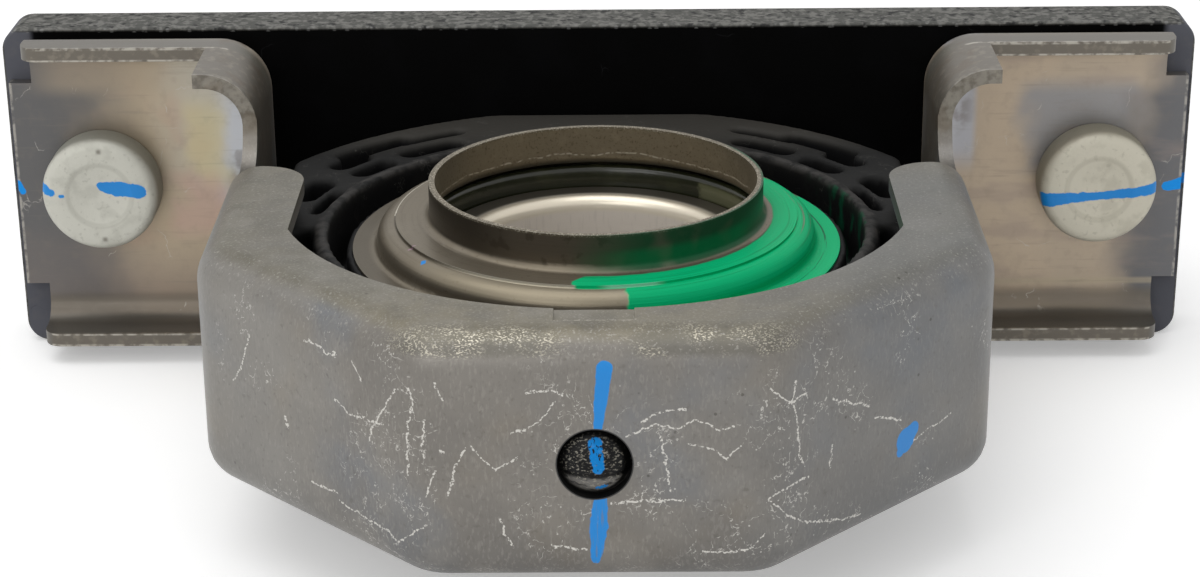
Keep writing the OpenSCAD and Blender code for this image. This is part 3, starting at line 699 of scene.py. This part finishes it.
def paint_marks(look):
    """Blue paint on the front flat, the right facet and the ears' ends, and painted shade on the hole's wall.
    """
    x, y, z = look.x, look.y, look.z
    front = look.ramp(y, 2.0 - HOOP_FLAT, 1.0 - HOOP_FLAT)
    shaded_hole_wall = look.times(look.ramp(y, -60, -66), look.ramp(look.length(x, z), HOLE_R + 0.3, HOLE_R + 0.1))
    outside = look.times(front, look.inverse(shaded_hole_wall))
    above = look.stroke(x, z, [(1.8, 17.8), (1.0, 11.0), (0.6, 6.6)], (1.38, 1.1, 0.7), 0.25)
    below = look.stroke(x, z, [(0.9, -6.9), (0.6, -12.0), (0.1, -18.4)], (1.2, 1.65, 0.8), 0.35)
    streaks = look.patchy(0.5, 0.54, 0.64, stretch=(1, 1, 16), shift=2)
    look.tint(look.times(outside, above), BLUE)
    look.tint(look.times(outside, below, look.inverse(look.calc("MULTIPLY", streaks, 0.45))), BLUE)
    # Painted shade: the hole's wall painted near black
    look.tint(shaded_hole_wall, (8, 8, 8))
    along = look.calc("MULTIPLY", look.calc("ADD", x, y), HALF_ROOT)
    out = look.calc("MULTIPLY", look.calc("SUBTRACT", x, y), HALF_ROOT)
    drop = look.stroke(along, z, [(7.4, -6.0), (5.2, -7.5), (3.8, -9.4)], (1.5, 2.5, 1.0), 0.2)
    facet = look.times(look.near(out, HOOP_FLAT, 1, 1), drop)
    look.tint(facet, BLUE)
    floor = look.ramp(y, HEAD_BACK - 2.0, HEAD_BACK - 1.0)
    right_end = look.stroke(x, z, [(126.4, -2.1), (129.6, -1.4)], (1.1, 1.4), 0.3)
    left_end = look.stroke(x, z, [(-129.6, 0.2), (-128.6, -1.6)], (0.9, 0.7), 0.3)
    look.tint(look.times(floor, look.most(right_end, left_end)), BLUE)
    paint = look.most(look.times(outside, look.most(above, below)), facet, shaded_hole_wall)
    look.blend("Metallic", paint, 0.0)


def plate_look():
    """Black paint, near black with painted shade on the front and bluish grey with painted sheen at the ends,
    with rough sawn edges.
    """
    # The near-black base is painted shade on the front
    look = Look("plate_paint", (2, 2, 2), 0.6)
    look.shader.inputs["Specular IOR Level"].default_value = 0.05
    across = look.calc("ABSOLUTE", look.x)
    look.tint(look.patchy(14.0, 0.45, 0.70), (6, 6, 7), 0.7)
    # The back shows its satin paint in the light, with handling marks
    back = look.ramp(look.y, PLATE_BACK_Y - 1.0, PLATE_BACK_Y - 0.2)
    look.tint(back, (31, 31, 33))
    look.tint(look.times(back, look.patchy(18.0, 0.44, 0.68, shift=31)), (42, 42, 44), 0.8)
    look.tint(look.times(back, look.patchy(0.8, 0.54, 0.70, detail=5, shift=33)), (20, 20, 21), 0.6)
    # Painted sheen: the ends are painted bluish grey
    ends = look.ramp(across, PLATE_END_X - 7.5, PLATE_END_X - 5.5)
    look.tint(ends, (93, 94, 101))
    look.tint(look.times(ends, look.patchy(3.0, 0.50, 0.70)), (98, 98, 103), 0.7)
    # Sawn edges, rough and grey
    edge = look.most(
        look.ramp(look.z, PLATE_TOP_Z - 0.9, PLATE_TOP_Z - 0.4),
        look.ramp(look.z, PLATE_UNDER_Z + 0.9, PLATE_UNDER_Z + 0.4),
        look.ramp(across, PLATE_END_X - 0.6, PLATE_END_X - 0.2),
    )
    grain = look.noise(1.5, detail=6)
    look.tint(edge, (95, 95, 92))
    look.tint(look.times(edge, look.ramp(grain, 0.44, 0.62)), (134, 133, 129), 0.8)
    look.tint(look.times(edge, look.patchy(2.2, 0.54, 0.66, detail=5, shift=4)), (44, 44, 46), 0.8)
    border = look.times(look.near(look.z, PLATE_TOP_Z - 0.5, 0.25, 0.3), look.specks(1.6, 0.35))
    look.tint(border, (150, 150, 148), 0.7)
    rubs = look.times(look.web(30.0, 0.2, 30.0), look.patchy(9.0, 0.58, 0.66, shift=3))
    look.tint(rubs, (44, 44, 46), 0.4)
    blue = look.times(look.near(look.x, PLATE_END_X - 0.6, 0.5, 0.2), look.near(look.z, -1.2, 1.0, 0.4))
    look.tint(look.times(blue, look.ramp(look.y, 78, 77)), BLUE, 0.8)
    look.blend("Roughness", edge, 0.75)
    look.bump(look.calc("MULTIPLY", grain, edge), 0.5)
    look.bump(look.noise(1.0, detail=3), 0.03)
    return look


def stud_look(name, side, colour):
    """Matt zinc with painted shade on the head's rim, a ring on the face and a blue stripe."""
    look = Look(name, colour, 0.5, 0.2)
    x, y, z = look.x, look.y, look.z
    off = look.calc("SUBTRACT", x, side * STUD_X)
    head_r = look.length(off, z)
    face = look.ramp(y, HEAD_FRONT + 1.0, HEAD_FRONT + 0.6)
    look.tint(look.patchy(4.5, 0.48, 0.66, detail=5), [c - 20 for c in colour], 0.6)
    look.tint(look.patchy(1.2, 0.58, 0.70, detail=4, shift=4), [c - 40 for c in colour], 0.4)
    look.tint(look.times(face, look.near(head_r, HEAD_RING_R, 0.3, 0.6)), [c - 38 for c in colour], 0.32)
    # Painted shade on the head's rounded rim and side
    look.tint(look.ramp(y, HEAD_FRONT + 0.5, HEAD_FRONT + 2.5), [c - 48 for c in colour], 0.75)
    if side > 0:
        points = [(97.9, -2.5), (104, -2.0), (110.2, -1.5), (117, -0.9), (122.4, 0.2)]
        stripe = look.stroke(x, z, points, (1.7, 1.2, 0.95, 1.15, 1.3), 0.45)
    else:
        dents = look.times(look.near(look.calc("ABSOLUTE", z), 10.2, 0.1, 0.8), look.near(off, 0.6, 0.1, 0.8))
        look.tint(look.times(face, dents), (92, 84, 72), 0.7)
        end = look.stroke(x, z, [(-122.8, 1.9), (-120.4, 0.8)], (1.1, 0.9), 0.7)
        blot = look.stroke(x, z, [(-118.6, 0.0), (-118.0, 0.0)], (0.4, 0.4), 0.3)
        thick = look.stroke(x, z, [(-109.4, 2.1), (-106.0, 1.6), (-101.0, 0.9)], (1.0, 1.8, 1.5), 0.5)
        stripe = look.most(end, blot, thick)
    paint = look.times(look.ramp(y, HEAD_FRONT + 2.5, HEAD_FRONT + 1.5), stripe)
    look.tint(paint, BLUE)
    look.blend("Metallic", paint, 0.0)
    # Oily thread behind the plate
    look.tint(look.ramp(y, PLATE_BACK_Y - 0.2, PLATE_BACK_Y + 0.6), (128, 124, 112), 0.7)
    behind = look.ramp(y, PLATE_BACK_Y + 0.4, PLATE_BACK_Y + 1.0)
    look.tint(look.times(behind, look.ramp(head_r, STUD_R - 0.2, STUD_R - 1.0)), (64, 60, 52), 0.85)
    look.bump(look.noise(0.9, detail=5), 0.06)
    return look


def rubber_look():
    """Matt moulded rubber with dusty edges, painted sheen on its top faces and painted highlights on the lip
    and the back ring's top.
    """
    look = Look("cushion_rubber", (12, 12, 13), 0.6)
    look.shader.inputs["Specular IOR Level"].default_value = 0.13
    r, a = look.radius(), look.angle()
    look.tint(look.patchy(7.0, 0.50, 0.70, detail=4), (24, 23, 22), 0.6)
    # Painted sheen on the top faces, and a painted highlight on the back ring's top
    top = look.ramp(look.calc("ABSOLUTE", look.z), 14.5, 16.3)
    look.tint(top, (20, 20, 19), 0.7)
    look.tint(look.times(top, look.ramp(look.y, 40, 60)), (58, 56, 52), 0.8)
    # Dust and a painted highlight along the lip's edge
    lip = look.times(look.near(r, CUSHION_LIP_R, 1.2, 0.8), look.ramp(look.z, 15.6, 16.6))
    look.tint(look.times(lip, look.patchy(3.0, 0.36, 0.62, shift=2)), (62, 60, 58), 0.7)
    fluff = look.times(look.web(9.0, 0.10, 14.0, 6), look.patchy(7.0, 0.54, 0.62, shift=8))
    look.tint(fluff, (96, 94, 90), 0.4)
    look.tint(look.specks(5.0, 0.06, 9), (90, 88, 84), 0.5)
    runs = look.patchy(3.0, 0.48, 0.66, stretch=(1, 1, 2.0), shift=5)
    drips = look.times(look.near(r, CUSHION_LIP_R - 1.2, 0.5, 0.5), look.near(a, 6, 14, 16), runs)
    look.tint(drips, (0, 70, 46), 0.7)
    nub_marks(look)
    look.bump(look.noise(1.4, detail=4), 0.06)
    return look


def nub_marks(look):
    """Scuffs, a parting line, rubbed blue paint, a painted highlight low on the dome and painted shade round
    the nub in the front hole.
    """
    x, z = look.x, look.z
    nub = look.ramp(look.y, 3.0 - HOOP_FLAT, 2.0 - HOOP_FLAT)
    look.tint(nub, (26, 26, 26), 0.8)
    # Grey scuffs and a painted highlight make the lower half of the nub lighter
    look.tint(look.times(nub, look.ramp(z, -2.0, -3.2)), (150, 147, 142), 0.6)
    scuffs = look.times(nub, look.patchy(0.4, 0.54, 0.64, stretch=(1.5, 1, 0.9), detail=5))
    look.tint(scuffs, (168, 163, 150), 0.65)
    smears = look.patchy(1.3, 0.50, 0.62, stretch=(1.6, 1, 0.7), detail=4, shift=27)
    look.tint(look.times(nub, smears), (10, 10, 10), 0.7)
    look.tint(look.times(nub, look.near(look.shaken(z, 1.5, 1.2), -1.9, 0.2, 0.3)), (8, 8, 8), 0.8)
    patch = look.stroke(x, z, [(0.1, 3.6), (0.6, -0.4)], (1.2, 1.1), 0.6)
    gaps = look.patchy(0.6, 0.62, 0.56, stretch=(0.7, 1, 2), detail=4, shift=3)
    low_patch = look.stroke(x, z, [(0.6, -4.9), (1.9, -4.4)], (0.5, 0.4), 0.3)
    look.tint(look.times(nub, look.most(patch, low_patch), gaps), BLUE, 0.9)
    # The shaded gap shows wider above and to the right
    off_x, off_z = look.calc("ADD", x, 0.4), look.calc("ADD", z, 0.4)
    look.tint(look.times(nub, look.ramp(look.length(off_x, off_z), 5.2, 5.8)), (5, 5, 5), 0.95)
    look.blend("Roughness", nub, 0.4)


def shield_look(name, painted):
    """Satin pressed steel, drawn round the shaft's axis. One shield carries green paint."""
    look = Look(name, (122, 114, 100), 0.38, 0.65)
    look.shader.inputs["Specular IOR Level"].default_value = 0.08
    r, a = look.radius(), look.angle()
    look.tint(look.ramp(look.polar_noise(0.5, 40.0), 0.45, 0.70), (108, 100, 86), 0.5)
    look.tint(look.patchy(12.0, 0.50, 0.70), (134, 127, 114), 0.5)
    look.tint(look.patchy(0.9, 0.60, 0.72, detail=5), (88, 76, 58), 0.35)
    look.tint(look.ramp(r, 43.0, 45.0), (90, 84, 73), 0.7)
    height = look.calc("ABSOLUTE", look.z)
    # Painted highlight on the front of the shoulder
    shoulder_highlight = look.times(look.near(r, 41.6, 1.6, 1.0), look.ramp(height, 15.5, 17.0))
    look.tint(look.times(shoulder_highlight, look.near(a, -95, 25, 35)), (152, 143, 122), 0.45)
    step = look.times(look.near(r, SHIELD_STEP_R, 0.12, 0.14), look.near(height, 18.9, 0.4, 0.2))
    look.tint(step, (84, 78, 66), 0.7)
    # Painted highlight along the step's edge
    look.tint(look.times(step, look.ramp(a, -150, -116)), (226, 221, 206), 0.8)
    rust = look.times(look.ramp(r, 45.6, 46.6), look.specks(2.2, 0.22), look.patchy(5.0, 0.50, 0.58))
    look.tint(rust, (120, 72, 38), 0.7)
    neck_marks(look, r, a, height)
    if painted:
        green_paint(look, r, a)
        dot = look.times(look.near(look.x, -32.0, 0.3, 0.3), look.near(look.y, -24.7, 0.4, 0.3))
        look.tint(dot, BLUE, 0.9)
        smear = look.stroke(look.x, look.y, [(-35.1, -18.6), (-34.0, -17.8)], (0.3, 0.2), 0.2)
        look.tint(smear, (190, 150, 176), 0.5)
    look.bump(look.polar_noise(0.4, 60.0, 3), 0.02)
    look.bump(look.noise(0.6, detail=4), 0.015)
    return look


def neck_marks(look, r, a, height):
    """Brown outside and darker at the left, lighter inside with a ragged line, a speckled rim."""
    neck = look.times(look.ramp(r, 33.2, 32.6), look.ramp(height, 19.6, 20.4))
    outside = look.times(neck, look.ramp(r, NECK_WALL_R - 0.1, NECK_WALL_R + 0.1))
    inside = look.times(look.ramp(r, NECK_WALL_R + 0.1, NECK_WALL_R - 0.1), look.ramp(height, 17.0, 17.6))
    look.tint(outside, (92, 84, 72), 0.85)
    look.tint(look.times(outside, look.ramp(a, -112, -138)), (58, 53, 45), 0.8)
    look.tint(look.times(outside, look.patchy(2.6, 0.54, 0.66, detail=5, shift=14)), (64, 56, 46), 0.5)
    look.tint(inside, (124, 114, 94), 0.8)
    look.tint(look.times(inside, look.patchy(0.5, 0.54, 0.68, detail=5, shift=12)), (84, 72, 52), 0.55)
    look.tint(look.times(inside, look.patchy(3.0, 0.52, 0.70, detail=4, shift=16)), (142, 132, 112), 0.4)
    wave = look.shaken(height, 8.0, 2.6)
    ragged = look.patchy(1.0, 0.40, 0.56, detail=4)
    line = look.times(inside, look.near(wave, 20.5, 0.08, 0.16), ragged)
    look.tint(line, (196, 189, 172), 0.7)
    rim = look.ramp(height, NECK_RIM_Z - 0.5, NECK_RIM_Z - 0.2)
    look.tint(rim, (106, 98, 82), 0.8)
    look.tint(look.times(rim, look.patchy(0.3, 0.52, 0.64, detail=4)), (206, 199, 180), 0.6)


def green_paint(look, r, a):
    """Brushed green paint round the right side of the shield, thin on the neck, where painted shade darkens
    it and a painted lighter band crosses it, with a painted highlight along the step.
    """
    wobble = look.calc("MULTIPLY", look.calc("SUBTRACT", look.noise(2.6, detail=1, shift=6), 0.5), 4.0)
    turn = look.calc("ADD", a, wobble)
    # The tongue on the step ends in a round tip
    from_middle = look.calc("SUBTRACT", r, 37.0)
    tip = look.calc("MULTIPLY", look.calc("MULTIPLY", from_middle, from_middle), 0.55)
    tongue = look.times(look.ramp(look.calc("SUBTRACT", turn, tip), -97.5, -96.5), look.ramp(r, 39.6, 39.2))
    flank = look.ramp(turn, -82, -81)
    top = look.calc("ADD", r, look.calc("MULTIPLY", wobble, 0.1))
    ring = look.times(look.most(tongue, flank), look.ramp(turn, 33, 29), look.ramp(top, 34.1, 34.5))
    streak = look.polar_noise(0.45, 55.0, 1)
    hairs = look.ramp(look.polar_noise(0.35, 30.0, 4), 0.58, 0.66)
    scraped = look.times(look.near(a, 6, 14, 10), look.near(r, 40.0, 1.8, 1.5), hairs)
    dashes = look.ramp(look.polar_noise(0.3, 12.0, 5), 0.44, 0.54)
    outer_line = look.times(look.near(r, 44.6, 0.12, 0.16), look.near(a, -8, 24, 12), dashes)
    paint = look.times(ring, look.inverse(look.calc("MULTIPLY", scraped, 0.8)))
    look.tint(paint, GREEN)
    look.tint(look.times(paint, look.ramp(streak, 0.56, 0.70)), (0, 146, 90), 0.7)
    look.tint(look.times(paint, look.ramp(streak, 0.44, 0.32)), (8, 190, 124), 0.6)
    # Painted highlight along the step on the paint
    painted_highlight_line = look.times(look.near(r, SHIELD_STEP_R, 0.1, 0.14), look.near(a, -80, 5, 5))
    look.tint(painted_highlight_line, (176, 226, 204), 0.6)
    look.tint(outer_line, (28, 48, 38), 0.8)
    # Thin paint and painted shade darken the green on the neck
    neck = look.times(look.ramp(r, 33.4, 32.9), look.ramp(r, NECK_WALL_R + 0.1, NECK_WALL_R + 0.3))
    shade = look.times(neck, look.ramp(turn, -102, -70), look.ramp(a, 40, 30))
    uneven = look.patchy(7.0, 0.20, 0.50, stretch=(1, 1, 0.8), shift=7, detail=1)
    look.tint(look.times(shade, uneven), (4, 74, 46), 0.85)
    # Painted light: a lighter band across the middle of the neck
    painted_light_band = look.times(look.near(look.z, 21.6, 0.6, 1.8), look.near(a, -58, 22, 16))
    look.tint(look.times(shade, painted_light_band), (2, 116, 72), 0.6)
    look.blend("Metallic", look.most(paint, look.calc("MULTIPLY", shade, 0.6)), 0.0)
    look.blend("Roughness", paint, 0.42)
    look.bump(look.times(paint, streak), 0.12)


def ring_look():
    """Ground steel, with painted light in the bore and a painted highlight at its mouth."""
    look = Look("ring_steel", (186, 178, 165), 0.3, 0.6)
    r = look.radius()
    height = look.calc("ABSOLUTE", look.z)
    bore = look.ramp(r, BORE_R + 0.3, BORE_R + 0.05)
    look.tint(look.ramp(look.polar_noise(0.4, 80.0), 0.50, 0.68), (160, 152, 140), 0.5)
    # Painted light: the bore painted bright
    look.tint(bore, (228, 220, 210), 0.9)
    look.tint(look.times(bore, look.patchy(0.7, 0.54, 0.70, stretch=(1, 1, 8))), (184, 176, 169), 0.2)
    # Painted highlight on the rounded mouth
    mouth = look.times(look.ramp(height, 9.8, 11.0), look.ramp(r, 28.0, 27.0))
    look.tint(mouth, (226, 217, 198), 0.9)
    look.tint(look.times(look.ramp(r, 27.2, 28.4), look.ramp(height, 12.0, 12.4)), (58, 53, 41), 0.9)
    look.blend("Metallic", bore, 0.1)
    look.blend("Roughness", bore, 0.4)
    look.bump(look.polar_noise(0.3, 90.0, 2), 0.01)
    return look


def grease_look():
    """Dark seal rubber under a wet film of grease."""
    look = Look("greasy_seal", (34, 36, 23), 0.2)
    look.shader.inputs["Specular IOR Level"].default_value = 0.35
    look.shader.inputs["Coat Weight"].default_value = 0.15
    look.shader.inputs["Coat Roughness"].default_value = 0.1
    look.tint(look.patchy(8.0, 0.46, 0.68, detail=3), (50, 52, 34), 0.7)
    turn = look.shaken(look.angle(), 3.0, 8.0)
    glare = look.times(look.near(turn, 36, 12, 2), look.near(look.z, 14.8, 1.2, 0.8))
    look.tint(glare, (100, 101, 76), 0.7)
    look.bump(look.noise(4.0, detail=2), 0.1)
    return look


def cage_look():
    """Pressed sheet steel."""
    look = Look("cage_steel", (150, 146, 138), 0.35, 0.9)
    look.tint(look.patchy(2.5, 0.48, 0.68, detail=4), (124, 120, 112), 0.7)
    look.bump(look.noise(0.8, detail=3), 0.02)
    return look


def ball_look():
    """Polished steel."""
    look = Look("ball_steel", (206, 206, 203), 0.08, 1.0)
    look.tint(look.patchy(4.0, 0.50, 0.70, detail=3), (190, 190, 186), 0.6)
    look.bump(look.noise(0.5, detail=2), 0.004)
    return look


bearing_steel, cage_steel, ball_steel, greasy = ring_look(), cage_look(), ball_look(), grease_look()
dress(bracket, bracket_look())
dress(plate, plate_look())
dress(cushion, rubber_look())
dress(left_stud, stud_look("stud_left", -1, (204, 203, 192)))
dress(right_stud, stud_look("stud_right", 1, (206, 201, 184)))
dress(upper_seal, greasy)
dress(lower_seal, greasy)
dress(NODES["upper_shield"], shield_look("upper_shield", True))
dress(NODES["lower_shield"], shield_look("lower_shield", False))
for node in ("outer_ring", "inner_ring"):
    dress(NODES[node], bearing_steel)
for node in ("upper_cage", "lower_cage", "cage_rivets"):
    dress(NODES[node], cage_steel)
for node in NODES:
    if node.startswith("ball_"):
        dress(NODES[node], ball_steel)


# Floor, light and camera

FLOOR_Z = PLATE_UNDER_Z - 0.1
FLOOR_HALF = 4000.0
FLOOR_GLOW = 0.32
WORLD_LIGHT = 0.5
WORLD_SEEN = 1.0


def make_floor():
    """A pale floor that keeps the part's shadow and shows white round it."""
    mesh = bpy.data.meshes.new("floor")
    h, z = FLOOR_HALF * MM, FLOOR_Z * MM
    mesh.from_pydata([(-h, -h, z), (h, -h, z), (h, h, z), (-h, h, z)], [], [(0, 1, 2, 3)])
    floor = bpy.data.objects.new("floor", mesh)
    SCENE.collection.objects.link(floor)
    look = Look("floor", (247, 247, 247), 0.9)
    rays = look.node("ShaderNodeLightPath").outputs
    seen = look.most(rays["Is Camera Ray"], rays["Is Glossy Ray"], rays["Is Transmission Ray"])
    look.shader.inputs["Emission Color"].default_value = linear((255, 255, 255))
    look.plug(look.calc("MULTIPLY", seen, FLOOR_GLOW), look.shader.inputs["Emission Strength"])
    look.tint(look.noise(300.0), (250, 250, 250), 0.5)
    dress(floor, look)


def make_world():
    """White to the camera and in reflections, and a plain soft light on the object."""
    world = bpy.data.worlds.new("studio")
    SCENE.world = world
    world.use_nodes = True
    tree = world.node_tree
    background = tree.nodes["Background"]
    rays = tree.nodes.new("ShaderNodeLightPath").outputs
    seen = tree.nodes.new("ShaderNodeMath")
    seen.operation = "MAXIMUM"
    tree.links.new(rays["Is Camera Ray"], seen.inputs[0])
    tree.links.new(rays["Is Transmission Ray"], seen.inputs[1])
    shown = tree.nodes.new("ShaderNodeMath")
    shown.operation = "MAXIMUM"
    tree.links.new(seen.outputs[0], shown.inputs[0])
    tree.links.new(rays["Is Glossy Ray"], shown.inputs[1])
    strength = tree.nodes.new("ShaderNodeMapRange")
    strength.inputs["To Min"].default_value = WORLD_LIGHT
    strength.inputs["To Max"].default_value = WORLD_SEEN
    tree.links.new(shown.outputs[0], strength.inputs["Value"])
    tree.links.new(strength.outputs[0], background.inputs["Strength"])
    background.inputs["Color"].default_value = (1, 1, 1, 1)


def softbox(name, place, size, power):
    """A square area light that looks at the part's middle. Place and size are in metres."""
    data = bpy.data.lights.new(name, "AREA")
    data.shape = "SQUARE"
    data.size = size
    data.energy = power
    lamp = bpy.data.objects.new(name, data)
    lamp.location = place
    lamp.rotation_euler = (-Vector(place)).to_track_quat("-Z", "Y").to_euler()
    SCENE.collection.objects.link(lamp)


CAMERA_LENS = 79.59
CAMERA_TARGET = Vector((0.49, 16.0, -3.21))
CAMERA_DISTANCE = 538.95
CAMERA_PITCH = math.radians(21.594)
CAMERA_YAW = math.radians(-0.447)
CAMERA_ROLL = math.radians(-0.520)


def make_camera():
    """The photograph's viewpoint."""
    forward = Vector((
        math.sin(CAMERA_YAW) * math.cos(CAMERA_PITCH),
        math.cos(CAMERA_YAW) * math.cos(CAMERA_PITCH),
        -math.sin(CAMERA_PITCH),
    ))
    level = Vector((math.cos(CAMERA_YAW), -math.sin(CAMERA_YAW), 0))
    upright = level.cross(forward)
    right = level * math.cos(CAMERA_ROLL) + upright * math.sin(CAMERA_ROLL)
    up = upright * math.cos(CAMERA_ROLL) - level * math.sin(CAMERA_ROLL)
    data = bpy.data.cameras.new("camera")
    data.lens = CAMERA_LENS
    data.sensor_width = 36.0
    data.clip_start = 0.02
    data.clip_end = 50.0
    camera = bpy.data.objects.new("camera", data)
    turn = Matrix((right, up, -forward)).transposed()
    place = (CAMERA_TARGET - forward * CAMERA_DISTANCE) * MM
    camera.matrix_world = Matrix.Translation(place) @ turn.to_4x4()
    SCENE.collection.objects.link(camera)
    SCENE.camera = camera


make_floor()
make_world()
softbox("top", place=(-0.3, -0.1, 1.3), size=1.2, power=7.0)
softbox("front", place=(-0.6, -1.2, 0.7), size=0.9, power=4.0)
make_camera()
SCENE.view_settings.view_transform = "Standard"
